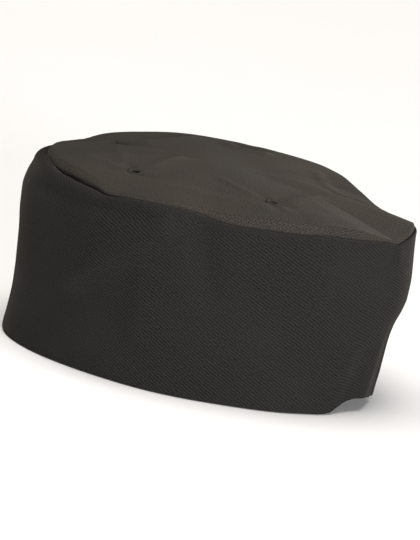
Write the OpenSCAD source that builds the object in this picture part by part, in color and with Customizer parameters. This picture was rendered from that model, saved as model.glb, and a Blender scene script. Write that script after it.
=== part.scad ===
// Soft pillbox chef toque: a folded side band, an elasticated back panel and a puffed crown.
// Frame: origin at the centre of the head opening on the hem's plane, +Z up through the crown,
// the forehead towards -Y and the elasticated back towards +Y. Millimetres.
// Every cloth wall is an oval of revolution: a round profile is turned about Z, then narrowed in X.

/* [Hat] */
// Length of the crown rim, front to back
rim_len = 200; // [190:1:212]
// Width of the crown rim, side to side
rim_w = 166; // [158:1:176]
// Length of the head opening at the hem, front to back
hem_len = 189; // [182:1:196]
// Height of the side band, hem to crown seam
band_h = 92; // [80:1:100]
// How far the crown puffs up above its seam
crown_rise = 13; // [8:0.5:18]

/* [Cloth] */
// Thickness of the twill
cloth_t = 0.7; // [0.6:0.1:0.9]
// Thickness of the interlining inside the side band
core_t = 0.6; // [0.5:0.1:0.8]
// Thickness of the towelling sweatband
sweat_t = 1.5; // [1:0.1:2]
// Height of the sweatband
sweat_h = 32; // [25:1:40]
// Width of the seam turnings inside the crown seam
turning_h = 9; // [7:0.5:11]

/* [Back] */
// Half angle of the elasticated back panel, in the round profile
back_half_angle = 49; // [40:1:55]
// How far the relaxed elastic draws the back hem in
back_tuck = 5; // [3:0.5:6]
// Width of the elastic tape
elastic_h = 25; // [18:1:28]
// Thickness of the elastic tape
elastic_t = 1.1; // [0.9:0.1:1.3]

/* [Eyelets] */
// Radius of the ring on which the eyelets sit
eyelet_ring_r = 60; // [50:1:62]
// Radius of each open vent hole
vent_r = 2; // [1.6:0.1:2.4]
// Outer radius of each thread ring
eyelet_r = 4.3; // [4:0.1:5]

/* [Hidden] */
$fn = 96;

// Oval walls
narrow = rim_w / rim_len;      // X scale that turns a round wall into the oval
rim_r = rim_len / 2;
hem_r = hem_len / 2;
flare_top = 0.8 * band_h;      // the wall widens up to this height
roll_h = 8;                    // height over which the band's top edge rolls inward
roll_in = 2.4;                 // how far it rolls
top_r = rim_r - roll_in;       // outer radius of the band at the crown seam
straight_steps = 9;            // facets up the wall below the roll, and in the roll
roll_steps = 4;
straight_h = band_h - roll_h;
hem_trim = 0.2;                // the folded hem is pressed flat by this much

// Layers
gap = 0.1;                     // clearance between layers that lie on each other
band_t = 2 * cloth_t + core_t; // both walls of the folded band and the core between them
casing_gap = elastic_t + 0.2;  // room between the back panel's two layers
back_t = 2 * cloth_t + casing_gap;
binding_t = 0.5;
sweat_low = 3;                 // the sweatband starts this far above the hem
elastic_rise = 1;              // the elastic lies this far above the fold of the back hem
casing_stitch_rise = 4;        // the casing is stitched this far above the elastic

// Threads
thread_r = 0.25;
seam_thread_w = 0.4;
stitch_inset = 2.5;            // rows of stitching run this far inside an edge

// Side seams and back panel
back_start = 90 - back_half_angle;     // the back panel is centred on +Y
side_start = 90 + back_half_angle;
side_span = 360 - 2 * back_half_angle;
edge_gap = 1;                          // room between the panels for the side seam's thread
edge_angle = edge_gap / rim_r * 180 / PI / 2;
inset_angle = 1;                       // an inner layer stops this far short of its panel's edges
sweat_angle = 6;                       // and the sweatband this far
back_lift = 3;                         // the drawn-in back hem hangs this far above the hem's plane
back_drop = 0.3;                       // room between the back panel's top and the crown

// Crown
dome_power = 2.6;                      // plan power of the puffed crown: higher is fuller at the rim
dome_steps = 20;
crown_r = top_r - 0.3;
crown_low = band_h + gap;
turning_r = top_r - back_t - 1.2;      // outer face of the crown's turned-down edge
turning_low = band_h - turning_h;
turning_inner_r = turning_r - cloth_t;
binding_drop = 3;                      // the binding's free edges stop this far below the seam
binding_inner_r = turning_inner_r - gap - binding_t;
binding_outer_r = turning_r + gap + binding_t;

// Eyelets and label
eyelet_angles = [for (i = [0:4]) 36 + 72 * i];
eyelet_flange = 0.7;                   // depth of thread over and under the cloth
eyelet_slot_h = cloth_t + 0.7;         // the cloth is held in a slot of this height
cloth_hole_r = vent_r + 1;
label = [22, 0.5, 34];
label_drop = 5;                        // the label hangs this far below the crown seam

function smooth(t) = t * t * (3 - 2 * t);
function reversed(list) = [for (i = [len(list) - 1:-1:0]) list[i]];

// Every layer of a wall bends at the same heights, so that the layers stay parallel.
wall_knots = [
    for (i = [0:straight_steps]) straight_h * i / straight_steps,
    for (i = [1:roll_steps]) straight_h + roll_h * i / roll_steps];
side_table = [
    for (z = wall_knots)
        [z, hem_r + (rim_r - hem_r) * smooth(min(z / flare_top, 1))
            - roll_in * pow(max(0, z - straight_h) / roll_h, 2)]];
tuck_table = [for (z = wall_knots) [z, pow(1 - z / band_h, 2)]];
function wall_r(z, tuck = 0) = lookup(z, side_table) - tuck * lookup(z, tuck_table);
function wall_line(low, high, depth, tuck) =
    [for (z = concat(low, [for (k = wall_knots) if (k > low && k < high) k], high))
        [wall_r(z, tuck) - depth, z]];

// Height of the crown's outer face above the seam, and its slope, at a share s of its radius.
function dome_z(s) = crown_rise * sqrt(1 - pow(s, dome_power));
function dome_slope(s) =
    -crown_rise * dome_power * pow(s, dome_power - 1) / (2 * sqrt(1 - pow(s, dome_power)));
function crown_share(x, y) = norm([x / narrow, y]) / crown_r;

// Outline of the crown's dome from its top out to the rim, at a depth below its outer face.
function dome_line(depth) =
    [for (i = [0:dome_steps])
        let (a = 90 * i / dome_steps)
        let (s = pow(sin(a), 2 / dome_power))
        let (steep = [dome_power / crown_r * pow(s, dome_power - 1), 2 * cos(a) / crown_rise])
            [crown_r * s, crown_low + crown_rise * cos(a)] - depth * steep / norm(steep)];

// Part of a turned ring narrowed into the hat's oval, over a span of degrees from +X.
module oval_ring(start, span) {
    scale([narrow, 1, 1])
        rotate([0, 0, start])
            rotate_extrude(angle = span) children();
}

// The whole oval, turned as two halves that meet at the sides.
module full_oval_ring() {
    for (start = [0, 180])
        oval_ring(start, 180) children();
}

// Section of one layer of a wall, between two depths behind the outer face.
module wall(low, high, outer_depth, inner_depth, tuck = 0) {
    polygon(concat(
        wall_line(low, high, outer_depth, tuck),
        reversed(wall_line(low, high, inner_depth, tuck))));
}

// Section of a strip folded double along the hem, with an open slot between its two walls.
module folded_wall(low, high, thickness, tuck = 0) {
    slot_depth = thickness - cloth_t;
    difference() {
        wall(low, high, 0, thickness, tuck);
        wall(max(low, 0) + cloth_t, high + 1, cloth_t, slot_depth, tuck);
    }
}

// Section of one laid thread.
module thread(radius, z) {
    translate([radius, z]) circle(r = thread_r, $fn = 8);
}

// The front and sides: one strip of twill folded double along the hem.
module side_band() {
    color([0.20, 0.195, 0.19])
        difference() {
            oval_ring(side_start + edge_angle, side_span - 2 * edge_angle)
                folded_wall(-hem_trim, band_h, band_t);
            translate([-rim_len, -rim_len, -2]) cube([2 * rim_len, 2 * rim_len, 2]);
        }
}

// Fused stiffener between the two walls of the side band.
module band_interlining() {
    inset = edge_angle + inset_angle;
    color([0.75, 0.74, 0.72])
        oval_ring(side_start + inset, side_span - 2 * inset)
            wall(cloth_t + gap, band_h - 1, cloth_t + gap, cloth_t + core_t - gap);
}

// Towelling strip along the inside of the hem, over the forehead and temples.
module sweatband() {
    outer_depth = band_t + gap;
    color([0.16, 0.16, 0.16])
        oval_ring(side_start + sweat_angle, side_span - 2 * sweat_angle)
            wall(sweat_low, sweat_low + sweat_h, outer_depth, outer_depth + sweat_t);
}

// The sweatband's two rows of stitching.
module sweatband_thread() {
    depth = band_t + gap + sweat_t + gap + thread_r;
    inset = sweat_angle + inset_angle;
    color([0.10, 0.10, 0.10])
        oval_ring(side_start + inset, side_span - 2 * inset)
            for (z = [sweat_low + stitch_inset, sweat_low + sweat_h - stitch_inset])
                thread(wall_r(z) - depth, z);
}

// The back of the band: folded double like the sides, and drawn in at the hem by the elastic.
module back_panel() {
    color([0.20, 0.195, 0.19])
        oval_ring(back_start + edge_angle, 2 * (back_half_angle - edge_angle))
            folded_wall(back_lift, band_h - back_drop, back_t, back_tuck);
}

// Woven elastic tape in the casing along the back hem.
module back_elastic() {
    inset = edge_angle + inset_angle;
    low = back_lift + cloth_t + elastic_rise;
    depth = cloth_t + (casing_gap - elastic_t) / 2;
    color([0.12, 0.12, 0.12])
        oval_ring(back_start + inset, 2 * (back_half_angle - inset))
            wall(low, low + elastic_h, depth, depth + elastic_t, back_tuck);
}

// The two rows of stitching that close the casing above the elastic, one on each face.
module casing_thread() {
    inset = edge_angle + 2 * inset_angle;
    z = back_lift + cloth_t + elastic_h + casing_stitch_rise;
    r = wall_r(z, back_tuck);
    clear = gap + thread_r;
    color([0.10, 0.10, 0.10])
        oval_ring(back_start + inset, 2 * (back_half_angle - inset)) {
            thread(r + clear, z);
            thread(r - back_t - clear, z);
        }
}

// The lockstitch of a side seam, standing in the join between the side band and the back panel.
module side_seam_thread(angle) {
    span = seam_thread_w / rim_r * 180 / PI;
    middle = band_t / 2;
    color([0.10, 0.10, 0.10])
        oval_ring(angle - span / 2, span)
            wall(stitch_inset, band_h - 1, middle - thread_r, middle + thread_r);
}

// The crown: a puffed oval of twill, folded in under its rim and turned down inside the band.
module crown_panel() {
    fold_z = crown_low + cloth_t;
    outer = dome_line(0);
    turning = [
        [turning_r, crown_low], [turning_r, turning_low],
        [turning_inner_r, turning_low], [turning_inner_r, fold_z]];
    inner = reversed([for (p = dome_line(cloth_t)) if (p[1] > fold_z + gap) p]);
    fold = [[inner[0][0], fold_z]];
    color([0.24, 0.225, 0.21])
        difference() {
            full_oval_ring() polygon(concat(outer, turning, fold, inner));
            for (a = eyelet_angles)
                at_eyelet(a)
                    cylinder(r = cloth_hole_r, h = 8 * cloth_t, center = true, $fn = 48);
        }
}

// Bias tape folded round the raw edge of the crown's turnings, all the way round.
module crown_seam_binding() {
    low = turning_low - gap;
    high = band_h - binding_drop;
    color([0.13, 0.13, 0.13])
        full_oval_ring()
            difference() {
                translate([binding_inner_r, low - binding_t])
                    square([binding_outer_r - binding_inner_r, high - low + binding_t]);
                translate([binding_inner_r + binding_t, low])
                    square([binding_outer_r - binding_inner_r - 2 * binding_t, high]);
            }
}

// The row of stitching along the binding, sewn in two runs that meet above the side seams.
module binding_thread() {
    runs = [[back_start, 2 * back_half_angle], [side_start, side_span]];
    color([0.10, 0.10, 0.10])
        for (run = runs)
            oval_ring(run[0] + inset_angle, run[1] - 2 * inset_angle)
                thread(binding_inner_r - gap - thread_r, turning_low + stitch_inset);
}

// Puts children on the crown's cloth, square to it, on the eyelet ring at an angle from +X.
module at_eyelet(angle) {
    x = eyelet_ring_r * cos(angle);
    y = eyelet_ring_r * sin(angle);
    s = crown_share(x, y);
    lean_x = dome_slope(s) * x / (narrow * narrow * crown_r * crown_r * s);
    lean_y = dome_slope(s) * y / (crown_r * crown_r * s);
    translate([x, y, crown_low + dome_z(s) - cloth_t / 2])
        rotate(a = atan(norm([lean_x, lean_y])), v = [lean_y, -lean_x, 0])
            children();
}

// Thread ring that whips the raw edge of one vent hole, over and under the cloth.
module eyelet(index) {
    ring_h = eyelet_slot_h + 2 * eyelet_flange;
    color([0.12, 0.115, 0.11])
        at_eyelet(eyelet_angles[index - 1])
            rotate_extrude($fn = 64)
                difference() {
                    translate([vent_r, -ring_h / 2]) square([eyelet_r - vent_r, ring_h]);
                    translate([cloth_hole_r - 0.3, -eyelet_slot_h / 2])
                        square([eyelet_r, eyelet_slot_h]);
                }
}

// Blank care label hanging inside the back, just in front of the binding.
module care_label() {
    back_y = binding_inner_r - 4 * thread_r - 1;
    color([0.85, 0.85, 0.83])
        translate([-label[0] / 2, back_y - label[1], band_h - label_drop - label[2]])
            cube(label);
}

side_band();
band_interlining();
sweatband();
sweatband_thread();
back_panel();
back_elastic();
casing_thread();
side_seam_thread(back_start);  // side_seam_thread_left
side_seam_thread(side_start);  // side_seam_thread_right
crown_panel();
crown_seam_binding();
binding_thread();
eyelet(1);  // eyelet_1
eyelet(2);  // eyelet_2
eyelet(3);  // eyelet_3
eyelet(4);  // eyelet_4
eyelet(5);  // eyelet_5
care_label();
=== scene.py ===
import math

import bmesh
import bpy
import numpy as np
from mathutils import Matrix, Vector


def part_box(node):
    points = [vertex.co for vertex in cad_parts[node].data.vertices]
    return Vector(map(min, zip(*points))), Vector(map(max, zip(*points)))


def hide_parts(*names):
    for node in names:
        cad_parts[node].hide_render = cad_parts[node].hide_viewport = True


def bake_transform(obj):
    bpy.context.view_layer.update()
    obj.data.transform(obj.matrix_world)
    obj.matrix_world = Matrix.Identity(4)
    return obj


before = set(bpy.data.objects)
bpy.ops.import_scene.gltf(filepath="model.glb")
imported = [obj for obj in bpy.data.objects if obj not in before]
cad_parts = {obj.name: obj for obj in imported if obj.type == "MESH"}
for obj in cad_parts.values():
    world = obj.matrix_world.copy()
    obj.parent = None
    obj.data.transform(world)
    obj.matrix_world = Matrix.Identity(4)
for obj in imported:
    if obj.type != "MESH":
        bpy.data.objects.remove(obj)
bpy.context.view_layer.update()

# A soft pillbox chef toque. Shapes are worked out in millimetres and become metres in the meshes.
# A place on the hat is an angle and a radius in a round profile, which is then narrowed in X:
# angle 0 is the wearer's left (+X), 90 the elasticated back (+Y) and -90 the forehead (-Y).

# ---- sizes
MM = 0.001
band_low, band_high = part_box("side_band")
NARROW = band_high.x / -band_low.y  # the round profile is narrowed in X to this share
MEAN_R = 97.0  # the wall's usual radius in the round profile
SEAM_ANGLES = (41, 139)  # the back panel lies between these two side seams
LEFT_SEAM, RIGHT_SEAM = SEAM_ANGLES
PANEL_GAP = 0.01  # degrees between a side seam and the edge of each panel
CLOTH_T = 0.7
BAND_T = 2.0
BACK_T = 2.7  # the back panel holds the elastic between its two layers
LAYER_GAP = 0.1  # between one cloth and the layer behind it

# Heights are above the hem's plane, and depths are behind the wall's outer face.
INTERLINING_LOW, INTERLINING_H, INTERLINING_T = 2, 82, 0.4
SWEAT_LOW, SWEAT_H = 3.0, 32.0
SWEAT_START, SWEAT_END = 145, 395  # angles of the sweatband's two ends, round by the forehead
SWEAT_STITCH_Z = (5.5, 32.5)
ELASTIC_LOW, ELASTIC_H, ELASTIC_T = 7.5, 25.0, 1.1
CASING_STITCH_Z = 33.5
CROWN_TURNING_H = 10  # the crown's edge is turned down this far inside the band
TURNING_DEPTH = 3.9  # of the crown's turned-down edge
BINDING_DROP = 3.0  # from the crown seam down to the binding's two edges
BINDING_T = 0.5
BINDING_GAP = 0.15
LABEL_W, LABEL_H, LABEL_T = 22.0, 34.0, 0.4
LABEL_TOP = 86.0
LABEL_DEPTH = 5.6


# ---- curves and noise
def through(keys, period=None):
    """A smooth curve through {place: value} that doesn't overshoot; closed if a period is given."""
    places = np.array(sorted(keys), float)
    values = np.array([keys[p] for p in sorted(keys)], float)
    if period:
        places = np.concatenate([places - period, places, places + period])
        values = np.tile(values, 3)
    gaps = np.diff(places)
    rises = np.diff(values) / gaps
    same_way = rises[:-1] * rises[1:] > 0
    before, after = rises[:-1][same_way], rises[1:][same_way]
    slopes = np.zeros(len(places))
    slopes[1:-1][same_way] = 2 * before * after / (before + after)

    def value(place):
        x = np.asarray(place, float)
        if period:
            x = (x - places[0]) % period + places[0] + period
        x = np.clip(x, places[0], places[-1])
        i = np.clip(np.searchsorted(places, x, side="right") - 1, 0, len(gaps) - 1)
        q = (x - places[i]) / gaps[i]
        from_last = (2 * q**3 - 3 * q**2 + 1) * values[i] + (q**3 - 2 * q**2 + q) * gaps[i] * slopes[i]
        to_next = (3 * q**2 - 2 * q**3) * values[i + 1] + (q**3 - q**2) * gaps[i] * slopes[i + 1]
        return from_last + to_next

    return value


def around(keys):
    """A closed curve round the hat, through {angle: value}."""
    return through(keys, 360)


def smooth(q):
    """0 up to q = 0 and 1 from q = 1, with a soft step between."""
    q = np.clip(q, 0, 1)
    return q * q * (3 - 2 * q)


def off_angle(t, centre):
    """How far angle t is from a centre angle, from -180 to 180."""
    return (t - centre + 180) % 360 - 180


def near_angle(t, centre, full, none):
    """1 within full degrees of centre, falling to 0 at none degrees."""
    return 1 - smooth((np.abs(off_angle(t, centre)) - full) / (none - full))


def waves(x, y, size, seed):
    """Smooth noise from about -1 to 1, with humps about size across, the same every run."""
    rng = np.random.default_rng(seed)
    count = 7
    total = 0
    for _ in range(count):
        angle, phase = rng.uniform(0, math.pi), rng.uniform(0, 2 * math.pi)
        pitch = size * rng.uniform(0.8, 1.7)
        total = total + np.sin(2 * math.pi * (x * math.cos(angle) + y * math.sin(angle)) / pitch + phase)
    return total / math.sqrt(2 * count)


# ---- the hat's lines
# Height of the crown seam, and radius over which the band's top edge rolls in to it.
seam_height = around({
    -107: 90.0, -95: 91.0, -80: 91.6, -68: 91.6, -58: 90.8, -50: 89.9, -38: 89.8, -30: 89.4,
    -27: 88.8, -19: 90.8, -11: 92.3, -4: 93.0, 4: 91.7, 9: 90.3, 16: 90.0, 25: 90.6, 34: 90.8,
    42: 91.8, 51: 91.2, 62: 90.3, 69: 89.4, 72.3: 88.3, 76: 89.0, 90: 91.8, 105: 91.0, 120: 87.8,
    136: 89.3, 160: 91.0, 200: 92.0, 230: 90.5, 245: 89.4})
edge_roll = around({
    -100: 5.0, -82: 5.0, -68: 4.6, -55: 4.0, -42: 3.6, -30: 3.0, -18: 2.2, 0: 2.4, 30: 1.8, 60: 1.2,
    75: 0.8, 90: 0.7, 105: 0.8, 120: 1.0, 150: 2.0, 180: 2.5, 210: 2.5, 235: 3.5, 248: 4.6})
# Height of the hem, which the elastic lifts at the back, and how far it stands out or in.
hem_height = around({
    -180: 0, -90: 0, 0: 0, 56: 0, 60: 0.6, 64: 2.8, 68: 5.2, 73: 6.8, 80: 6.2, 88: 4.6,
    98: 3.0, 106: 4.0, 113: 5.6, 119: 4.6, 125: 1.6, 130: 0, 150: 0})
hem_flare = around({
    -100: 0, -82: 0, -57: 2.6, -47: 2.0, -36: 1.3, -2: 0.8, 28: -1.2, 50: -0.4, 62: 0, 180: 0})
HEM_FLARE_H = 45  # the hem's flare dies out this high up

# Radius of the wall by height, at the sides, the front and the back.
side_profile = through({0: 94.8, 15: 95.3, 30: 96.6, 45: 98.0, 60: 99.2, 74: 99.9, 92: 99.9})
front_profile = through({
    0: 96.0, 10: 95.4, 20: 95.0, 30: 95.4, 39: 96.3, 52: 97.8, 64: 99.4, 73: 99.7, 80: 98.4, 86: 96.4,
    92: 95.0})
back_profile = through({
    0: 95.2, 9: 95.7, 17: 96.5, 26: 97.3, 35: 98.1, 44: 99.9, 51: 102.0, 57: 103.0, 65: 103.1,
    74: 102.5, 82: 101.8, 92: 101.2})

# The crown above its seam: height and width of its soft edge, how far it hangs over the seam,
# and how full it is between the edge and the middle.
puff_height = around({
    -102: 3.3, -90: 3.4, -80: 2.6, -68: 3.0, -58: 4.6, -50: 5.2, -36: 4.4, -28: 2.8, -21: 1.2,
    -10: 1.3, 4: 2.6, 12: 4.2, 30: 5.0, 55: 4.2, 68: 1.8, 75: 1.4, 84: 1.6, 94: 3.0, 101: 1.4,
    110: 0.2, 122: 0.0, 131: 1.0, 139: 5.2, 147: 9.4, 158: 10.8, 180: 10.6, 205: 8.8, 220: 7.3,
    235: 5.6, 248: 3.5})
puff_width = around({
    -100: 4.0, -80: 3.0, -62: 1.8, -50: 1.2, -30: 1.2, -20: 2.4, 0: 2.8, 12: 2.2, 60: 2.2, 78: 1.6,
    100: 1.4, 120: 3.0, 150: 9.0, 180: 10.0, 210: 9.0, 240: 6.0})
overhang = around({
    -90: 0, -60: 0.2, -52: 2.0, -44: 3.0, -32: 2.7, -26: 1.4, -20: 0.3, 0: 0.5, 12: 1.3, 40: 1.3,
    60: 1.0, 72: 0.3, 100: 0, 130: 0.4, 180: 1.0, 240: 0.2})
fullness = around({
    -125: 2.2, -100: 1.9, -80: 1.8, -60: 2.6, -30: 3.0, 20: 2.2, 45: 2.2, 80: 2.0, 112: 1.9,
    130: 2.2, 150: 2.8, 180: 3.0, 215: 3.2})
CROWN_MIDDLE = 103.8  # height of the crown's middle
# How far the crown stands back from the band's lip in their seam.
seam_gap = around({
    -80: 0.2, -58: 0.3, -52: 1.8, -45: 3.2, -34: 2.9, -28: 1.6, -23: 0.6, 0: 0.6, 180: 0.6})

EYELET_RING_R = 60
EYELET_ANGLES = [36 + 72 * i for i in range(5)]
EYELET_DROPS = [0.8, 0.9, 1.3, 0.8, 0.8]  # how far each eyelet is drawn down into the puffed cloth
EYELET_R = 4.3
VENT_R = 2.0


# ---- the wall
FRONT_REACH = (-82, 12, 55)  # middle of the front, how far it spreads and how far it is felt
BACK_REACH = (96, 14, 46)
ROLL_TURN = math.radians(105)  # the band's top edge rolls in through this angle
LEAST_ROLL = 0.3  # a layer far inside the roll still rolls over this radius
GROOVE = 3.0  # the outer cloth goes this far down into the crown seam
GROOVE_TURN = 0.2  # it has turned right down after this share of the groove
HEM_FOLD = BAND_T / 2
DEGREE_L = 1.6  # about how long a degree is round the hat
FOLD_END = 0.15  # a tuck fades out within this share of its length on each side of its ends


def wall_radius(t, z):
    """Radius of the wall's outer face, in the round profile."""
    front = near_angle(t, *FRONT_REACH)
    back = near_angle(t, *BACK_REACH)
    side = side_profile(z)
    radius = side + front * (front_profile(z) - side) + back * (back_profile(z) - side)
    return radius + hem_flare(t) * np.clip(1 - z / HEM_FLARE_H, 0, 1) ** 2 + wall_folds(t, z)


def from_line(t, z, a, b):
    """A place against the line from a to b, which are (angle, height): the share of the way along
    it, the distance from it, over 0 on its upper side, and the line's length."""
    dx, dy = (b[0] - a[0]) * DEGREE_L, b[1] - a[1]
    x, y = (off_angle(t, 0) - a[0]) * DEGREE_L, z - a[1]
    size = math.hypot(dx, dy)
    return (x * dx + y * dy) / size**2, (y * dx - x * dy) / size, size


def ridge(t, z, a, b, width):
    """A soft hump along the line from a to b, a width across, with round ends."""
    along, away, size = from_line(t, z, a, b)
    past_end = (along - np.clip(along, 0, 1)) * size
    return np.exp(-((np.hypot(away, past_end) / width) ** 2))


def tuck(t, z, a, b, below, above):
    """A fold along the line from a to b, with one width below the line and another above it."""
    along, away, _ = from_line(t, z, a, b)
    width = np.where(away > 0, above, below)
    fade = smooth((along + FOLD_END) / 2 / FOLD_END) * smooth((1 + FOLD_END - along) / 2 / FOLD_END)
    return fade * np.exp(-((away / width) ** 2))


# The wall's tucks, as (height, start, end, width below, width above).
TUCKS = [
    (4.6, (-35, 40), (0, 86), 6.0, 24),  # the long fold that slants down the left side
    (0.7, (-30, 46), (-3, 84), 2.2, 3.5),  # its crest
    (-1.8, (-58, 80), (-5, 86), 4.0, 3.0)]  # the hollow between it and the crown seam

# The wall's ridges, and its hollows, which are under 0, as (height, start, end, width).
RIDGES = [
    (-2.2, (3, 92), (11, 54), 7),
    (1.6, (-9, 58), (-8, 26), 7),
    (0.6, (73, 94), (75, 82), 4),
    (-0.8, (-3.2, 93), (-2, 86), 1.6),
    (-0.7, (42.5, 92), (43.5, 66), 1.6),
    (1.3, (77, 4), (80, 34), 9),
    (-0.9, (68, 8), (71, 30), 8),
    (0.8, (57, 0), (61, 30), 8)]

GATHER_COUNT = 47  # gathers to a full turn
GATHER_H = 0.75
SHIRR_H = 0.3


def gathers(t, z):
    """Gathers over the elastic: full ones where the hem is drawn up most, shallow ones beside them."""
    wave = np.sin(np.radians(t * GATHER_COUNT) + 1.3 * waves(t, z, size=30, seed=5))
    drawn_in = near_angle(t, 112, 12, 26) * (1 - smooth((z - 14) / 34))
    shirred = near_angle(t, 105, 16, 32) * (1 - smooth((z - 30) / 26))
    return (GATHER_H * drawn_in + SHIRR_H * shirred) * wave


def seam_grooves(t, z):
    """How far the wall sinks in at its two side seams, most of all near the crown."""
    depth = 0.06 + 0.5 * smooth((z - 76) / 10)
    return sum(depth * np.exp(-((off_angle(t, seam) / 0.4) ** 2)) for seam in SEAM_ANGLES)


def wall_folds(t, z):
    """How far the cloth stands proud of the plain wall: soft waves, folds, gathers and seams."""
    out = 0.45 * waves(t * 1.65, z, size=46, seed=3) + gathers(t, z) - seam_grooves(t, z)
    for height, start, end, below, above in TUCKS:
        out = out + height * tuck(t, z, start, end, below, above)
    for height, start, end, width in RIDGES:
        out = out + height * ridge(t, z, start, end, width)
    return out


def outward(t):
    """The level direction square to the narrowed oval."""
    a = np.radians(t)
    normal = np.stack([np.cos(a) / NARROW, np.sin(a), 0 * a], -1)
    return normal / np.linalg.norm(normal, axis=-1, keepdims=True)


def on_oval(t, radius, z, inward=0.0):
    """The point at an angle, radius and height, moved inward square to the narrowed oval."""
    a = np.radians(t)
    x, y, z, inward = np.broadcast_arrays(NARROW * radius * np.cos(a), radius * np.sin(a), z, inward)
    return np.stack([x, y, z], -1) - inward[..., None] * outward(t)


def wall_foot(t):
    """Height at which the wall starts, just above the hem's fold."""
    return hem_height(t) + HEM_FOLD


def share_at(t, z):
    """The share of the wall, as wall_point takes it, at a height below the roll."""
    low = wall_foot(t)
    return (z - low) / (seam_height(t) - edge_roll(t) - low)


def wall_point(t, q, depth=0.0):
    """A point of the wall, a depth behind its outer face: q is 0 just above the hem's fold, 1 where
    the top starts to roll in, 2 at the crown seam and 3 down in it."""
    roll = np.maximum(edge_roll(t), depth + LEAST_ROLL)
    low = wall_foot(t)
    z = low + (seam_height(t) - roll - low) * np.minimum(q, 1)
    turn = ROLL_TURN * np.clip(q - 1, 0, 1)
    facing = turn + (math.pi - ROLL_TURN) * np.clip((q - 2) / GROOVE_TURN, 0, 1)
    down = GROOVE * np.clip(q - 2, 0, 1)
    inward = roll * (1 - np.cos(turn)) + depth * np.cos(facing)
    return on_oval(t, wall_radius(t, z), z + roll * np.sin(turn) - down - depth * np.sin(facing), inward)


def lining_point(t, z, depth):
    """A point inside the wall at a height, a depth behind its outer face, under the rolled top."""
    roll = np.maximum(edge_roll(t), depth + LEAST_ROLL)
    rise = np.clip((z - seam_height(t) + roll) / (roll - depth), 0, 1)
    inward = roll - (roll - depth) * np.sqrt(1 - rise**2)
    return on_oval(t, wall_radius(t, np.minimum(z, seam_height(t) - roll)), z, inward)


def folded_point(t, s, thick, behind=0.0):
    """A point of a strip folded double along the hem: s below 0 is the outer layer, where q is -s,
    0 to 1 goes round the fold, and above 1 is the inner layer, where q is s - 1."""
    outer = wall_point(t, np.maximum(-s, 0), behind + 0 * s)
    inner = wall_point(t, np.maximum(s - 1, 0), thick - behind + 0 * s)
    turn = math.pi * np.clip(s, 0, 1)
    reach = thick / 2 - behind
    low = wall_foot(t)
    drop = reach * np.sin(turn) * (HEM_FOLD / (thick / 2))
    fold = on_oval(t, wall_radius(t, low), low - drop, thick / 2 - reach * np.cos(turn))
    s = s[..., None]
    return np.where(s < 0, outer, np.where(s > 1, inner, fold))


# ---- the crown
DIMPLE_R = 7.5  # reach of the dimple round an eyelet
PUCKER_H, PUCKER_R, PUCKER_W = 0.25, 7, 6  # the ring of small puckers round it
CREASE_END = 0.3  # a crease runs on past each end by this share of its length
CREASE_FADE = 0.4  # and fades out over this share
CREASED_SHARE = 0.7  # creases are full within this share of the crown's radius
LIP_H = 0.8  # the crown hangs out furthest at this height above its seam, and higher at a gap
LIP_ABOVE, LIP_BELOW = 4.5, 1.0  # the overhang tapers off over these heights
LIP_START = 1.2  # it starts this far down in the seam


def seam_radius(t):
    """Radius of the crown seam in the round profile. The roll is square to the narrowed oval."""
    roll = edge_roll(t)
    square = np.hypot(np.cos(np.radians(t)) / NARROW, np.sin(np.radians(t)))
    return wall_radius(t, seam_height(t) - roll) - roll * (1 - math.cos(ROLL_TURN)) * square


def eyelet_place(angle):
    """The place of an eyelet in plan."""
    a = math.radians(angle)
    return EYELET_RING_R * math.cos(a), EYELET_RING_R * math.sin(a)


def eyelet_dimples(x, y):
    """How far the crown's cloth is drawn down round its eyelets."""
    drop = 0
    for i, angle in enumerate(EYELET_ANGLES):
        ex, ey = eyelet_place(angle)
        away = np.hypot(x - ex, y - ey)
        way = np.arctan2(y - ey, x - ex)
        pucker = np.sin(5 * way + 2.1 * i) + 0.6 * np.sin(3 * way + i)
        drop = drop + EYELET_DROPS[i] * np.exp(-((away / DIMPLE_R) ** 2))
        drop = drop + PUCKER_H * pucker * np.exp(-(((away - PUCKER_R) / PUCKER_W) ** 2)) * smooth(away / 5)
    return drop


# Long soft creases in the crown, as (start, end, height, width) in plan.
CROWN_CREASES = [
    ((52, 40), (66, 58), 0.4, 2.5),
    ((46, 22), (34, 4), 0.4, 2.5),
    ((60, 44), (30, 80), 0.2, 4.5),
    ((-52, -10), (-52, 10), 1.4, 4.5),
    ((-14, -66), (-6, -84), 1.0, 3.0),
    ((-26, -48), (-50, -30), 0.9, 4.0),
    ((50, -44), (30, -70), 0.8, 3.0),
    ((40, -30), (10, -22), 0.6, 3.0),
    ((-22, 64), (-14, 82), 0.9, 3.0),
    ((-26, 50), (-44, 40), 0.9, 4.0),
    ((20, -76), (62, -50), 0.5, 3.5),
    ((36, -46), (4, -56), 0.5, 3.5),
    ((64, -20), (60, 12), 0.6, 4.0),
    ((38, 42), (14, 52), 0.8, 3.5)]


def crown_creases(x, y):
    """How far the creases lift the crown's cloth at a place in plan."""
    total = 0
    for (ax, ay), (bx, by), height, width in CROWN_CREASES:
        dx, dy = bx - ax, by - ay
        along = ((x - ax) * dx + (y - ay) * dy) / (dx * dx + dy * dy)
        along = np.clip(along, -CREASE_END, 1 + CREASE_END)
        away = np.hypot(x - ax - along * dx, y - ay - along * dy)
        fade = smooth((along + CREASE_END) / CREASE_FADE) * smooth((1 + CREASE_END - along) / CREASE_FADE)
        total = total + height * fade * np.exp(-((away / width) ** 2))
    return total


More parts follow.
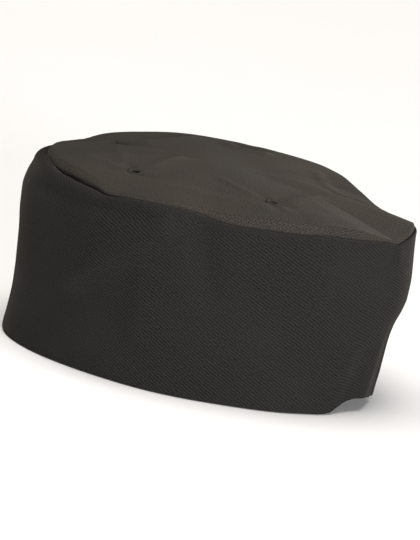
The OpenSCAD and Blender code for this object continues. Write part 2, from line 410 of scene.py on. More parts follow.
def crown_height(t, radius):
    """Height of the crown's cloth, before its edge turns down, at an angle and radius."""
    rim = seam_height(t) + puff_height(t)
    share = np.clip(radius / seam_radius(t), 0, 1)
    x, y = NARROW * radius * np.cos(np.radians(t)), radius * np.sin(np.radians(t))
    inside = 1 - smooth((share - CREASED_SHARE) / (1 - CREASED_SHARE))
    soft = 0.5 * waves(x, y, size=42, seed=11) * (0.3 + 0.7 * inside)
    puffed = rim + (CROWN_MIDDLE - rim) * (1 - share ** fullness(t))
    return puffed + soft + crown_creases(x, y) * inside - eyelet_dimples(x, y)


def crown_point(t, d):
    """A point of the crown's outer face: d mm in from its rim or, under 0, down behind the band."""
    seam_r, seam_z = seam_radius(t), seam_height(t)
    inward, down = np.maximum(d, 0), np.maximum(-d, 0)
    radius = seam_r - seam_gap(t) - inward
    q = np.clip(inward / puff_width(t), 0, 1)
    z = seam_z + (crown_height(t, radius) - seam_z) * np.sqrt(1 - (1 - q) ** 2)
    above_lip = z - seam_z - LIP_H - 0.4 * seam_gap(t)
    taper = above_lip / np.where(above_lip > 0, LIP_ABOVE, LIP_BELOW)
    lip = overhang(t) * np.exp(-(taper**2)) * smooth((d + LIP_START) / LIP_START)
    outside = on_oval(t, radius + lip, z - down)
    lining = lining_point(t, seam_z - down, TURNING_DEPTH + 0 * t)
    share = smooth(down / 4)[..., None]
    return outside + (lining - outside) * share


# ---- meshes
def grid_quads(rows, columns, closed=False):
    """Faces of a grid of rows x columns points, closed along its columns if asked."""
    across = columns if closed else columns - 1
    r, c = np.meshgrid(np.arange(rows - 1), np.arange(across), indexing="ij")
    after = (c + 1) % columns
    corners = [r * columns + c, r * columns + after, (r + 1) * columns + after, (r + 1) * columns + c]
    return np.stack(corners, -1).reshape(-1, 4)


def new_mesh(name, points, faces, material, uv=None):
    """A smooth object from points in millimetres, with one texture place in metres per point."""
    mesh = bpy.data.meshes.new(name)
    places = (np.asarray(points).reshape(-1, 3) * MM).tolist()
    mesh.from_pydata(places, [], [list(map(int, face)) for face in faces])
    if uv is not None:
        corner = np.zeros(len(mesh.loops), int)
        mesh.loops.foreach_get("vertex_index", corner)
        mesh.uv_layers.new(name="cloth").data.foreach_set("uv", np.asarray(uv, float)[corner].ravel())
    mesh.polygons.foreach_set("use_smooth", [True] * len(mesh.polygons))
    mesh.materials.append(material)
    form = bmesh.new()
    form.from_mesh(mesh)
    bmesh.ops.recalc_face_normals(form, faces=form.faces)
    form.to_mesh(mesh)
    form.free()
    obj = bpy.data.objects.new(name, mesh)
    bpy.context.scene.collection.objects.link(obj)
    return obj


def sheet_mesh(name, front, rear, faces, uv, material):
    """A closed sheet of cloth from its two faces, with a wall along every open edge."""
    count = len(front)
    sides = np.stack([faces, np.roll(faces, -1, 1)], -1).reshape(-1, 2)
    low, high = sides.min(1), sides.max(1)
    _, where, uses = np.unique(low * count + high, return_index=True, return_counts=True)
    edge = sides[where[uses == 1]]
    walls = np.stack([edge[:, 1], edge[:, 0], edge[:, 0] + count, edge[:, 1] + count], 1)
    everything = np.concatenate([faces, faces[:, ::-1] + count, walls])
    kept, renumbered = np.unique(everything, return_inverse=True)
    points = np.concatenate([front, rear])[kept]
    return new_mesh(name, points, renumbered.reshape(-1, 4), material, np.concatenate([uv, uv])[kept])


def tubes(name, centres, up, radii, material, sides=6):
    """Round threads in one mesh: centres is (threads, rings, 3), up points out of the cloth."""
    along = np.gradient(centres, axis=1)
    across = np.cross(along, up)
    across = across / np.linalg.norm(across, axis=-1, keepdims=True)
    rise = np.cross(across, along)
    rise = rise / np.linalg.norm(rise, axis=-1, keepdims=True)
    threads, rings, _ = centres.shape
    turn = np.linspace(0, 2 * math.pi, sides, endpoint=False)
    radii = np.asarray(radii, float)[None, :, None, None]
    spread = np.cos(turn)[:, None] * across[:, :, None] + np.sin(turn)[:, None] * rise[:, :, None]
    points = centres[:, :, None] + radii * spread
    quads = grid_quads(rings, sides, closed=True)
    first = np.arange(threads) * rings * sides
    faces = [list(f) for f in (quads[None] + first[:, None, None]).reshape(-1, 4)]
    for start in first:
        faces.append(list(range(start + sides - 1, start - 1, -1)))
        faces.append(list(range(start + (rings - 1) * sides, start + rings * sides)))
    return new_mesh(name, points, faces, material)


STITCH_L = 2.2
STITCH_PITCH = 2.9
# Along one stitch: how far its middle line stands out of the cloth, and its radius.
STITCH_RISE = np.array([-0.5, -0.16, -0.05, -0.05, -0.16, -0.5])
STITCH_R = np.array([0.12, 0.2, 0.22, 0.22, 0.2, 0.12])


def stitch_row(name, place, start, end, material):
    """Stitches along place(u), which gives points and outward directions, for u from start to end."""
    fine = np.linspace(start, end, 2000)
    points, _ = place(fine)
    length = np.concatenate([[0], np.cumsum(np.linalg.norm(np.diff(points, axis=0), axis=1))])
    count = int(length[-1] / STITCH_PITCH)
    starts = (np.arange(count) + 0.1) * length[-1] / count
    run = starts[:, None] + STITCH_L * np.linspace(0, 1, len(STITCH_RISE))
    centres, up = place(np.interp(run, length, fine))
    return tubes(name, centres + STITCH_RISE[:, None] * up, up, STITCH_R, material)


# ---- materials
class Look:
    """A node material: each method adds one node and gives back its main output."""

    def __init__(self, name, surface):
        self.material = bpy.data.materials.new(name)
        self.material.use_nodes = True
        self.nodes = self.material.node_tree.nodes
        self.links = self.material.node_tree.links
        self.shader = self.nodes["Principled BSDF"]
        for socket, value in surface.items():
            self.shader.inputs[socket].default_value = value

    def node(self, kind, settings=None, **inputs):
        node = self.nodes.new("ShaderNode" + kind)
        for key, value in (settings or {}).items():
            setattr(node, key, value)
        for key, value in inputs.items():
            self.feed(node.inputs[key], value)
        return node

    def feed(self, socket, value):
        if isinstance(value, bpy.types.NodeSocket):
            self.links.new(value, socket)
        else:
            socket.default_value = value

    def math(self, operation, *values):
        node = self.node("Math", {"operation": operation})
        for socket, value in zip(node.inputs, values):
            self.feed(socket, value)
        return node.outputs[0]

    def noise(self, place, scale, detail=2.0):
        return self.node("TexNoise", Vector=place, Scale=scale, Detail=detail).outputs["Fac"]

    def ramp(self, value, low, high):
        """0 below low and 1 above high, with a soft step between."""
        node = self.node("MapRange", {"interpolation_type": "SMOOTHSTEP"}, Value=value)
        node.inputs["From Min"].default_value = low
        node.inputs["From Max"].default_value = high
        return node.outputs["Result"]

    def mix(self, share, low, high):
        node = self.node("Mix", {"data_type": "RGBA"}, Factor=share)
        self.feed(node.inputs[6], low)
        self.feed(node.inputs[7], high)
        return node.outputs[2]

    def cloth_place(self):
        """Place on the flat cloth, in metres, and its two parts."""
        place = self.node("UVMap", {"uv_map": "cloth"}).outputs["UV"]
        parts = self.node("SeparateXYZ", Vector=place)
        return place, parts.outputs["X"], parts.outputs["Y"]

    def object_place(self):
        """Place in the object's own metres, for a piece with no flat cloth."""
        return self.node("TexCoord").outputs["Object"]

    def wave(self, place, pitch):
        """A sine from 0 to 1 that repeats every pitch."""
        turn = self.math("MULTIPLY", place, 2 * math.pi / pitch)
        return self.math("MULTIPLY_ADD", self.math("SINE", turn), 0.5, 0.5)

    def finish(self, colour, roughness, height, relief):
        """The finished material, its height from 0 to 1 standing for relief metres of bump."""
        self.feed(self.shader.inputs["Base Color"], colour)
        self.feed(self.shader.inputs["Roughness"], roughness)
        bump = self.node("Bump", Height=height, Distance=relief)
        self.links.new(bump.outputs["Normal"], self.shader.inputs["Normal"])
        return self.material


def grey(level, warm=0.0):
    """A grey, a little warmer if asked."""
    return (level * (1 + warm), level, level * (1 - warm), 1)


# The materials' lengths are in metres, and their noise scales in humps per metre.
TWILL_PITCH = 0.0014  # from one twill line to the next
TWILL_LEAN = math.radians(30)  # the twill lines fall this much towards the back
YARN_PITCH = 0.0013  # from yarn to yarn along a line
LINT_CELLS = 30.0  # places for a speck of lint, per metre
LINT_R = 0.009  # size of a speck, as a share of its cell
LINT_RARITY = 0.7  # the share of cells that hold none


def twill_weave(look, place, u, v):
    """Diagonal lines, each cut into yarns that are half a step on from its neighbour's."""
    lean_sin, lean_cos = math.sin(TWILL_LEAN), math.cos(TWILL_LEAN)
    across = look.math("MULTIPLY_ADD", u, lean_sin, look.math("MULTIPLY", v, lean_cos))
    along = look.math("MULTIPLY_ADD", u, lean_cos, look.math("MULTIPLY", v, -lean_sin))
    wander = look.math("MULTIPLY", look.noise(place, 900.0), 0.0006)
    line = look.wave(look.math("ADD", across, wander), TWILL_PITCH)
    yarn = look.wave(look.math("MULTIPLY_ADD", across, YARN_PITCH / TWILL_PITCH / 2, along), YARN_PITCH)
    return look.math("MULTIPLY", line, look.math("MULTIPLY_ADD", yarn, 0.55, 0.45))


def linted(look, place, cloth):
    """The cloth's colour with a few pale specks of lint on it."""
    cells = look.node("TexVoronoi", Vector=place, Scale=LINT_CELLS)
    chance = look.node("SeparateColor", Color=cells.outputs["Color"]).outputs[0]
    rare = look.math("GREATER_THAN", chance, LINT_RARITY)
    speck = look.math("MULTIPLY", look.math("LESS_THAN", cells.outputs["Distance"], LINT_R), rare)
    return look.mix(speck, cloth, (0.4, 0.37, 0.33, 1))


def twill_look(name, level, warm, contrast, relief, line_share):
    """Black polycotton twill: fine diagonal ridges of yarn, worn tops, lint specks and a soft sheen."""
    look = Look(name, {
        "Sheen Weight": 0.07, "Sheen Roughness": 0.4, "Sheen Tint": (0.95, 0.88, 0.78, 1),
        "Specular IOR Level": 0.0})
    place, u, v = look.cloth_place()
    weave = twill_weave(look, place, u, v)
    grain = look.ramp(look.noise(place, 1500.0), 0.25, 0.75)
    clouds = look.ramp(look.noise(place, 22.0, 3.0), 0.3, 0.7)
    tone = look.math("MULTIPLY_ADD", grain, 1 - line_share, look.math("MULTIPLY", weave, line_share))
    dark, light = level * (1 - contrast), level * (1 + 0.8 * contrast)
    cloth = look.mix(tone, grey(dark, warm), grey(light, warm))
    cloth = look.mix(look.math("MULTIPLY", clouds, 0.3), cloth, grey(level * 1.2, warm * 1.8))
    rough = look.math("MULTIPLY_ADD", weave, -0.12, 0.84)
    height = look.math("MULTIPLY_ADD", grain, 0.3, weave)
    return look.finish(linted(look, place, cloth), rough, height, relief)


def thread_look(name, level, warm):
    """Spun sewing thread: fine turns of its plies."""
    look = Look(name, {"Sheen Weight": 0.03, "Specular IOR Level": 0.06})
    place = look.object_place()
    fine = look.noise(place, 3500.0, 3.0)
    blotch = look.noise(place, 90.0)
    tone = look.math("MULTIPLY_ADD", blotch, 0.5, look.math("MULTIPLY", fine, 0.5))
    colour = look.mix(tone, grey(level * 0.5, warm), grey(level * 1.7, warm))
    return look.finish(colour, look.math("MULTIPLY_ADD", fine, -0.2, 0.75), fine, 0.0001)


def towelling_look():
    """Looped cotton towelling, a little lighter where the loops stand up."""
    look = Look("towelling", {"Sheen Weight": 0.4, "Sheen Roughness": 0.6, "Specular IOR Level": 0.15})
    place = look.object_place()
    loops = look.node("TexVoronoi", Vector=place, Scale=900.0).outputs["Distance"]
    patches = look.noise(place, 60.0, 3.0)
    tone = look.math("MULTIPLY_ADD", patches, 0.5, look.math("MULTIPLY", loops, 0.5))
    colour = look.mix(tone, grey(0.016, 0.06), grey(0.06, 0.06))
    return look.finish(colour, look.math("MULTIPLY_ADD", patches, 0.1, 0.88), loops, 0.0005)


def ribbed_look(name, pitch, low, high, relief):
    """Narrow woven tape: ribs across its width and fine ends along it."""
    look = Look(name, {"Sheen Weight": 0.2, "Specular IOR Level": 0.3})
    place, u, v = look.cloth_place()
    ribs = look.wave(u, pitch)
    ends = look.wave(v, pitch * 1.7)
    weave = look.math("MULTIPLY_ADD", ribs, 0.6, look.math("MULTIPLY", ends, 0.4))
    worn = look.noise(place, 120.0, 3.0)
    tone = look.math("MULTIPLY_ADD", worn, 0.5, look.math("MULTIPLY", weave, 0.5))
    rough = look.math("MULTIPLY_ADD", worn, 0.2, 0.65)
    return look.finish(look.mix(tone, low, high), rough, weave, relief)


def interlining_look():
    """Fused non-woven stiffener: pale matted fibres with a grid of glue dots."""
    look = Look("interlining", {"Specular IOR Level": 0.2})
    place, u, v = look.cloth_place()
    fibres = look.noise(place, 1800.0, 5.0)
    dot_pitch = 0.0016
    dots = look.math("MULTIPLY", look.wave(u, dot_pitch), look.wave(v, dot_pitch))
    tone = look.math("MULTIPLY_ADD", dots, 0.3, look.math("MULTIPLY", fibres, 0.7))
    colour = look.mix(tone, (0.42, 0.41, 0.38, 1), (0.72, 0.71, 0.67, 1))
    return look.finish(colour, look.math("MULTIPLY_ADD", fibres, -0.2, 0.95), fibres, 0.00012)


TWILL = twill_look(
    "twill_band", level=0.0174, warm=0.035, contrast=0.8, relief=0.00015, line_share=0.5)
# The crown is the band's cloth: its copy is given a lighter, warmer tone than the band's, which is painted
# light from overhead.
CROWN_TWILL_PAINTED_LIGHT = twill_look(
    "twill_crown_painted_light", level=0.0298, warm=0.12, contrast=0.95, relief=0.00008, line_share=0.25)
THREAD = thread_look("thread", level=0.012, warm=0.05)
EYELET_THREAD = thread_look("eyelet_thread", level=0.022, warm=0.14)
TOWELLING = towelling_look()
BINDING = ribbed_look("binding", 0.0007, grey(0.012, 0.03), grey(0.04, 0.03), 0.0001)
ELASTIC = ribbed_look("elastic", 0.0011, grey(0.02), grey(0.07), 0.0002)
LABEL = ribbed_look("label", 0.0004, (0.52, 0.5, 0.46, 1), (0.74, 0.72, 0.68, 1), 0.00005)
INTERLINING = interlining_look()


# ---- pieces
COLUMN_STEP = 0.75  # degrees from one column of points to the next


def columns(start, end):
    """Angles from start to end, closer together beside the seams at its two ends."""
    close = np.array([0, 0.15, 0.3, 0.5, 0.75, 1.1, 1.6])
    middle = np.linspace(start + 2.2, end - 2.2, int((end - start) / COLUMN_STEP))
    return np.concatenate([start + close, middle, end - close[::-1]])


def arc_length(t):
    """Length round the hat, in millimetres, from angle 0 to each angle t."""
    turns = np.linspace(-360, 540, 3601)
    points = on_oval(turns, MEAN_R, 0.0)
    length = np.concatenate([[0], np.cumsum(np.linalg.norm(np.diff(points, axis=0), axis=1))])
    return np.interp(t, turns, length) - np.interp(0, turns, length)


def section_length(s):
    """Length along a folded strip's section, in millimetres, from its hem fold."""
    return np.interp(s, [-3, -2, -1, 0, 1, 2, 3], [-95, -92, -86, 0, 3, 89, 95])


def strip_rows():
    """Places across a folded strip, as folded_point takes them, closer together where it bends."""
    down_in_seam, roll = np.linspace(3, 2.3, 4), np.linspace(2, 1, 10)[:-1]
    outer = -np.concatenate([down_in_seam, np.linspace(2.2, 2, 4)[:-1], roll, np.linspace(1, 0, 62)])
    inner = 1 + np.concatenate([np.linspace(0, 1, 40), np.linspace(1, 2, 6)[1:]])
    return np.concatenate([outer, np.linspace(0, 1, 9)[1:-1], inner])


def folded_strip(name, start, end, thick, material):
    """A panel of twill folded double along the hem, its outer layer rolled over into the crown seam."""
    t, s = columns(start, end), strip_rows()
    grid_s, grid_t = np.meshgrid(s, t, indexing="ij")
    front = folded_point(grid_t, grid_s, thick).reshape(-1, 3)
    rear = folded_point(grid_t, grid_s, thick, CLOTH_T).reshape(-1, 3)
    uv = np.stack([arc_length(grid_t), -section_length(grid_s)], -1).reshape(-1, 2) * MM
    faces = grid_quads(len(s), len(t))[:, ::-1]
    return sheet_mesh(name, front, rear, faces, uv, material)


def layer(name, t, heights, depth, thick, material):
    """A strip that lies inside the wall, over some heights and a depth behind its outer face."""
    grid_z, grid_t = np.meshgrid(heights, t, indexing="ij")
    front = lining_point(grid_t, grid_z, depth + 0 * grid_t).reshape(-1, 3)
    rear = lining_point(grid_t, grid_z, depth + thick + 0 * grid_t).reshape(-1, 3)
    uv = np.stack([arc_length(grid_t), grid_z], -1).reshape(-1, 2) * MM
    return sheet_mesh(name, front, rear, grid_quads(len(heights), len(t)), uv, material)


CROWN_EDGE_W = 8.0  # width of the crown's edge, where its rows of points lie closest
CROWN_MIDDLE_R = 2.0  # the last row of points lies this far from the middle
CROWN_COLUMNS = 520
VENT_CUT_R = (VENT_R + EYELET_R) / 2 - 0.3  # the cloth ends here, under the eyelet's threads


def crown_rows(t):
    """How far in from the rim each row of the crown lies: under 0 it is turned down in the band."""
    turned = -np.concatenate([np.linspace(CROWN_TURNING_H, 3, 8), np.linspace(2.6, 0.3, 8)])
    edge = CROWN_EDGE_W * np.linspace(0, 1, 22) ** 3
    near_rim = np.repeat(np.concatenate([turned, edge])[:, None], len(t), 1)
    share, grid_t = np.meshgrid(np.linspace(0, 1, 80)[1:], t, indexing="ij")
    reach = seam_radius(grid_t) - seam_gap(grid_t) - CROWN_MIDDLE_R - CROWN_EDGE_W
    return np.concatenate([near_rim, CROWN_EDGE_W + share * reach])


def crown_underside(front):
    """The crown's inner face, a cloth's thickness in from its outer face."""
    round_rim = np.roll(front, -1, 1) - np.roll(front, 1, 1)
    normal = np.cross(round_rim, np.gradient(front, axis=0))
    return front - CLOTH_T * (normal / np.linalg.norm(normal, axis=-1, keepdims=True))


def crown_cloth_places(front):
    """Places on the flat cloth, by the way and the length of cloth from the middle."""
    steps = np.linalg.norm(np.diff(front, axis=0), axis=-1)
    from_last_row = np.concatenate([np.cumsum(steps[::-1], 0)[::-1], 0 * steps[:1]])
    reach = np.hypot(*front[-1, :, :2].T) + from_last_row
    way = np.arctan2(front[-1, :, 1], front[-1, :, 0])
    return np.stack([reach * np.cos(way), reach * np.sin(way)], -1).reshape(-1, 2) * MM


def with_middle(grid):
    """A grid's points in one list, ended by the middle of its last row."""
    return np.concatenate([grid.reshape(-1, 3), grid[-1].mean(0, keepdims=True)])


def clear_of_vents(faces, points):
    """The faces that leave every vent hole open."""
    centre = points[faces].mean(1)
    for angle in EYELET_ANGLES:
        x, y = eyelet_place(angle)
        clear = np.hypot(centre[:, 0] - x, centre[:, 1] - y) > VENT_CUT_R
        faces, centre = faces[clear], centre[clear]
    return faces


def crown_mesh():
    """The puffed crown, its edge turned down inside the band, open at each eyelet."""
    t = np.linspace(0, 360, CROWN_COLUMNS, endpoint=False)
    distance = crown_rows(t)
    outer = crown_point(np.broadcast_to(t, distance.shape), distance)
    front, rear = with_middle(outer), with_middle(crown_underside(outer))
    uv = np.concatenate([crown_cloth_places(outer), [[0, 0]]])
    middle = distance.size
    last = np.arange(middle - len(t), middle)
    fan = [[last[i], last[i + 1], last[(i + 2) % len(t)], middle] for i in range(0, len(t), 2)]
    faces = np.concatenate([grid_quads(*distance.shape, closed=True), fan])
    return sheet_mesh("crown_twill", front, rear, clear_of_vents(faces, front), uv, CROWN_TWILL_PAINTED_LIGHT)


def sweatband_mesh():
    """The towelling strip inside the hem, with a looped face and rounded edges."""
    thin, full, edge_r = 0.5, 0.9, 2.2
    t = np.linspace(SWEAT_START, SWEAT_END, 400)
    heights = np.linspace(SWEAT_LOW, SWEAT_LOW + SWEAT_H, 44)
    grid_z, _ = np.meshgrid(heights, t, indexing="ij")
    edge = np.minimum(grid_z - SWEAT_LOW, SWEAT_LOW + SWEAT_H - grid_z)
    thick = thin + full * np.sqrt(1 - (1 - np.clip(edge / edge_r, 0, 1)) ** 2)
    loops = np.random.default_rng(8).uniform(-0.16, 0.16, thick.shape)
    for z in SWEAT_STITCH_Z:
        thick = thick - 0.45 * np.exp(-(((grid_z - z) / 0.9) ** 2))
    return layer("sweatband_towelling", t, heights, BAND_T + LAYER_GAP, thick + loops, TOWELLING)


def binding_mesh():
    """Bias tape folded round the raw edge of the crown's turned-down edge."""
    t = np.linspace(0, 360, 360, endpoint=False)
    outer_leg, inner_leg = TURNING_DEPTH - BINDING_GAP, TURNING_DEPTH + CLOTH_T + BINDING_GAP
    middle, half = (outer_leg + inner_leg) / 2, (inner_leg - outer_leg) / 2
    leg = np.linspace(BINDING_DROP, CROWN_TURNING_H, 7)
    turn = np.linspace(0, math.pi, 7)[1:-1]
    drop = np.concatenate([leg, CROWN_TURNING_H + half * np.sin(turn), leg[::-1]])
    side = np.concatenate([-np.ones(len(leg)), -np.cos(turn), np.ones(len(leg))])
    faces = []
    for reach in (half + BINDING_T, half):
        fold = np.where(drop > CROWN_TURNING_H, (reach - half) * np.sin(np.arccos(-side)), 0)
        grid_d, grid_t = np.meshgrid(drop + fold, t, indexing="ij")
        depth = np.repeat((middle + reach * side)[:, None], len(t), 1)
        faces.append(lining_point(grid_t, seam_height(grid_t) - grid_d, depth).reshape(-1, 3))
    along = np.concatenate([[0], np.cumsum(np.hypot(np.diff(drop), half * np.diff(side)))])
    uv = np.stack(np.meshgrid(arc_length(t), along), -1).reshape(-1, 2) * MM
    return sheet_mesh("crown_binding_tape", *faces, grid_quads(len(drop), len(t), closed=True), uv, BINDING)


# The label's top edge is sewn on here, at the middle of the back.
LABEL_Y = lining_point(np.array(90.0), np.array(LABEL_TOP), np.array(LABEL_DEPTH))[1]
LABEL_BOW = 0.9  # its sides lie this far forward of its middle


def label_mesh():
    """The blank label, hanging free from its stitched top edge and curling a little."""
    grid_h, grid_w = np.meshgrid(np.linspace(0, 1, 30), np.linspace(-1, 1, 20), indexing="ij")
    y = LABEL_Y - 2.6 * grid_h**1.7 - LABEL_BOW * grid_w**2 + 0.5 * grid_h * np.sin(2.2 * grid_w + 0.6)
    front = np.stack([LABEL_W / 2 * grid_w, y, LABEL_TOP - LABEL_H * grid_h], -1).reshape(-1, 3)
    rear = front - np.array([0, LABEL_T, 0])
    uv = np.stack([grid_w * LABEL_W / 2, grid_h * LABEL_H], -1).reshape(-1, 2) * MM
    return sheet_mesh("care_label_blank", front, rear, grid_quads(*grid_h.shape), uv, LABEL)


def crown_surface(x, y):
    """The crown's outer face over a place in plan."""
    t = np.degrees(np.arctan2(y, x / NARROW))
    return np.stack([x, y, crown_height(t, np.hypot(x / NARROW, y))], -1)


EYELET_THREADS = 60
EYELET_THREAD_R = 0.2
# One whipped thread's path, in to the vent under the cloth and back over it: how far it is from
# the vent's middle, and how high above the cloth's upper face.
UNDER, OVER = -CLOTH_T - 0.1, 0.1
THREAD_PATH = np.array([
    (EYELET_R, UNDER + 0.3), (3.7, UNDER), (2.9, UNDER - 0.15), (2.2, UNDER), (VENT_R, UNDER + 0.4),
    (VENT_R, OVER - 0.2), (2.3, OVER + 0.45), (3.0, OVER + 0.6), (3.7, OVER + 0.3),
    (EYELET_R, OVER - 0.35)])


def eyelet_axes(x, y):
    """Two level directions of the crown's cloth round an eyelet, and the one out of it."""
    slope_x = crown_surface(x + EYELET_R, y) - crown_surface(x - EYELET_R, y)
    slope_y = crown_surface(x, y + EYELET_R) - crown_surface(x, y - EYELET_R)
    normal = np.cross(slope_x, slope_y)
    normal = normal / np.linalg.norm(normal)
    east = slope_x / np.linalg.norm(slope_x)
    return east, np.cross(normal, east), normal


def eyelet_mesh(name, angle):
    """Whipped threads round one vent hole, over and under the cloth."""
    x, y = (np.array(c) for c in eyelet_place(angle))
    east, north, normal = eyelet_axes(x, y)
    ring = [crown_surface(x + dx, y + dy) for dx, dy in ((3, 0), (-3, 0), (0, 3), (0, -3))]
    middle = np.mean(ring, 0)
    turn = np.linspace(0, 2 * math.pi, EYELET_THREADS, endpoint=False)
    out = np.cos(turn)[:, None] * east + np.sin(turn)[:, None] * north
    wobble = 1 + np.random.default_rng(int(angle)).uniform(-0.04, 0.04, EYELET_THREADS)
    reach, lift = THREAD_PATH.T
    centres = middle + (reach * wobble[:, None])[..., None] * out[:, None] + lift[:, None] * normal
    sideways = np.cross(out, normal)[:, None]
    up = np.cross(sideways, np.gradient(centres, axis=1))
    radii = np.full(len(reach), EYELET_THREAD_R)
    return tubes(name, centres, up, radii, EYELET_THREAD, sides=5)


def inside_row(z, depth):
    """A stitch path round the inside of the wall at a height and depth, for angles."""
    def place(t):
        return lining_point(t, z + 0 * t, depth + 0 * t), -outward(t)
    return place


def outside_row(z):
    """A stitch path round the outside of the wall at a height, for angles."""
    def place(t):
        return wall_point(t, share_at(t, z)), outward(t)
    return place


def seam_column(angle):
    """A stitch path up a side seam, inside the join of its two panels, for heights."""
    def place(z):
        t = angle + 0 * z
        return wall_point(t, share_at(t, z), 0.35 + 0 * z), outward(t)
    return place


def binding_row(t):
    """The stitch path round the binding's inner leg, for angles."""
    depth = TURNING_DEPTH + CLOTH_T + BINDING_GAP + BINDING_T
    return lining_point(t, seam_height(t) - CROWN_TURNING_H + 2.5, depth + 0 * t), -outward(t)


def label_row(x):
    """The stitch path along the label's top edge, from side to side."""
    y = LABEL_Y - LABEL_T - LABEL_BOW * (2 * x / LABEL_W) ** 2
    into_hat = np.zeros(x.shape + (3,))
    into_hat[..., 1] = -1
    return np.stack([x, y, LABEL_TOP - 1.6 + 0 * x], -1), into_hat


band = folded_strip("band_twill", RIGHT_SEAM - 360 + PANEL_GAP, LEFT_SEAM - PANEL_GAP, BAND_T, TWILL)
back = folded_strip("back_twill", LEFT_SEAM + PANEL_GAP, RIGHT_SEAM - PANEL_GAP, BACK_T, TWILL)
crown = crown_mesh()
interlining_rows = np.linspace(INTERLINING_LOW, INTERLINING_LOW + INTERLINING_H, 50)
interlining = layer(
    "band_stiffener", columns(RIGHT_SEAM - 359, LEFT_SEAM - 1), interlining_rows, CLOTH_T + LAYER_GAP,
    INTERLINING_T, INTERLINING)
sweatband = sweatband_mesh()
elastic_rows = np.linspace(ELASTIC_LOW, ELASTIC_LOW + ELASTIC_H, 20)
elastic = layer(
    "back_elastic_tape", columns(LEFT_SEAM + 1.5, RIGHT_SEAM - 1.5), elastic_rows, CLOTH_T + LAYER_GAP,
    ELASTIC_T, ELASTIC)
binding = binding_mesh()
label = label_mesh()

sweat_face = BAND_T + 1.15
sweat_rows = [
    stitch_row(
        f"sweatband_stitches_{i + 1}", inside_row(z, sweat_face), SWEAT_START + 1, SWEAT_END - 1, THREAD)
    for i, z in enumerate(SWEAT_STITCH_Z)]
casing_ends = (LEFT_SEAM + 2, RIGHT_SEAM - 2)
casing_rows = [
    stitch_row("casing_stitches_outside", outside_row(CASING_STITCH_Z), *casing_ends, THREAD),
    stitch_row("casing_stitches_inside", inside_row(CASING_STITCH_Z, BACK_T), *casing_ends, THREAD)]
left_seam = stitch_row("side_seam_stitches_left", seam_column(LEFT_SEAM), 3, 90, THREAD)
right_seam = stitch_row("side_seam_stitches_right", seam_column(RIGHT_SEAM), 3, 88, THREAD)
binding_stitches = stitch_row("binding_stitches", binding_row, 0, 359.5, THREAD)
label_stitches = stitch_row("label_stitches", label_row, -10, 10, THREAD)
eyelets = [eyelet_mesh(f"eyelet_threads_{i + 1}", angle) for i, angle in enumerate(EYELET_ANGLES)]


# ---- the CAD parts that each piece stands for, hidden
def attach(piece, slot, *nodes):
    """Bakes a piece's transform and hides the CAD parts that it stands for."""
    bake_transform(piece)
    if nodes:
        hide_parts(*nodes)


attach(band, "twill", "side_band")
attach(back, "twill", "back_panel")
attach(crown, "twill", "crown_panel")
attach(interlining, "interlining", "band_interlining")
attach(sweatband, "towelling", "sweatband")
attach(elastic, "elastic", "back_elastic")
attach(binding, "binding", "crown_seam_binding")
attach(label, "label", "care_label")
attach(sweat_rows[0], "thread", "sweatband_thread")
attach(sweat_rows[1], "thread")
attach(casing_rows[0], "thread", "casing_thread")
attach(casing_rows[1], "thread")
attach(left_seam, "thread", "side_seam_thread_left")
attach(right_seam, "thread", "side_seam_thread_right")
attach(binding_stitches, "thread", "binding_thread")
attach(label_stitches, "thread")
for i, eyelet in enumerate(eyelets):
    attach(eyelet, "eyelet_thread", f"eyelet_{i + 1}")

rim_round = arc_length(360) - arc_length(0)
back_round = arc_length(RIGHT_SEAM) - arc_length(LEFT_SEAM)


# ---- studio
def floor():
    """A plain white floor, hardly uneven in tone."""
    look = Look("studio_floor", {})
    tone = look.noise(look.object_place(), 3.0, 3.0)
    material = look.finish(look.mix(tone, grey(0.74), grey(0.78)), 0.9, tone, 0.0005)
    bpy.ops.mesh.primitive_plane_add(size=60)
    plane = bpy.context.active_object
    plane.name = "studio_floor"
    plane.location.z = -0.0002
    plane.data.materials.append(material)


HAT_MIDDLE = Vector((0, 0, 0.046))


def new_light(name, kind, place, power, colour):
    """A light at a place, aimed at the middle of the hat; gives back its settings."""
    data = bpy.data.lights.new(name, kind)
    data.energy = power
    data.color = colour
    light = bpy.data.objects.new(name, data)
    bpy.context.scene.collection.objects.link(light)
    light.location = place
    light.rotation_euler = (HAT_MIDDLE - Vector(place)).to_track_quat("-Z", "Y").to_euler()
    return data


def soft_sun(name, place, power, colour):
    """A broad light from far off, so that the whole floor is lit evenly."""
    new_light(name, "SUN", place, power, colour).angle = math.radians(50)


def soft_light(name, place, size, power, colour):
    """A square area light."""
    data = new_light(name, "AREA", place, power, colour)
    data.shape = "SQUARE"
    data.size = size


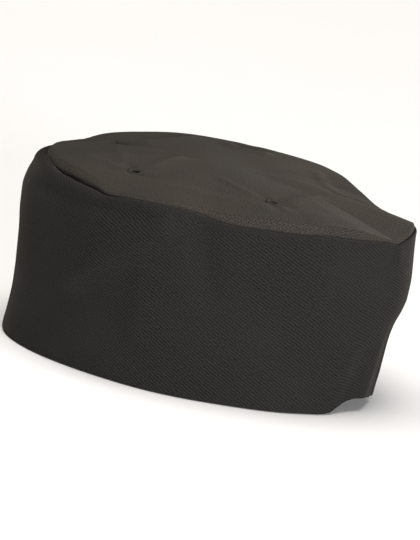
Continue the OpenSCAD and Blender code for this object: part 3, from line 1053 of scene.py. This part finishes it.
def white_room(strength, colour):
    """Light of one colour from all round."""
    world = bpy.data.worlds.new("white_room")
    world.use_nodes = True
    background = world.node_tree.nodes["Background"]
    background.inputs["Color"].default_value = colour
    background.inputs["Strength"].default_value = strength
    bpy.context.scene.world = world


CAMERA_AZIMUTH = math.radians(99.8)  # from straight in front, round by the wearer's left
CAMERA_HEIGHT = math.radians(12.3)
CAMERA_ROLL = math.radians(11.35)
CAMERA_AWAY = 2.03
CAMERA_LENS = 267.3  # for a 36 mm long side of the frame
CAMERA_OFFSET = (0.0029, 0.0020)  # right and up, to frame the hat as the photograph does


def camera():
    """The view from the wearer's left and a little behind, tilted as the photograph is."""
    away = Vector((
        math.sin(CAMERA_AZIMUTH) * math.cos(CAMERA_HEIGHT),
        -math.cos(CAMERA_AZIMUTH) * math.cos(CAMERA_HEIGHT),
        math.sin(CAMERA_HEIGHT)))
    level = Vector((math.cos(CAMERA_AZIMUTH), math.sin(CAMERA_AZIMUTH), 0))
    upright = away.cross(level)
    right = math.cos(CAMERA_ROLL) * level + math.sin(CAMERA_ROLL) * upright
    up = math.cos(CAMERA_ROLL) * upright - math.sin(CAMERA_ROLL) * level
    data = bpy.data.cameras.new("camera")
    data.lens = CAMERA_LENS
    data.sensor_width = 36
    data.clip_end = 100
    view = bpy.data.objects.new("camera", data)
    bpy.context.scene.collection.objects.link(view)
    place = HAT_MIDDLE + CAMERA_AWAY * away + CAMERA_OFFSET[0] * right + CAMERA_OFFSET[1] * up
    view.matrix_world = Matrix.Translation(place) @ Matrix((right, up, away)).transposed().to_4x4()
    bpy.context.scene.camera = view


floor()
white_room(strength=0.12, colour=(1, 0.98, 0.95, 1))
soft_sun("overhead_light", (0.12, -0.08, 1.0), power=3.7, colour=(1, 0.97, 0.93))
soft_light("side_light", (1.6, 1.05, 0.28), size=0.6, power=48, colour=(0.98, 0.97, 1))
soft_light("rim_light", (-0.3, 1.9, 0.06), size=0.7, power=16, colour=(1, 0.97, 0.92))
camera()
bpy.context.scene.view_settings.view_transform = "Standard"
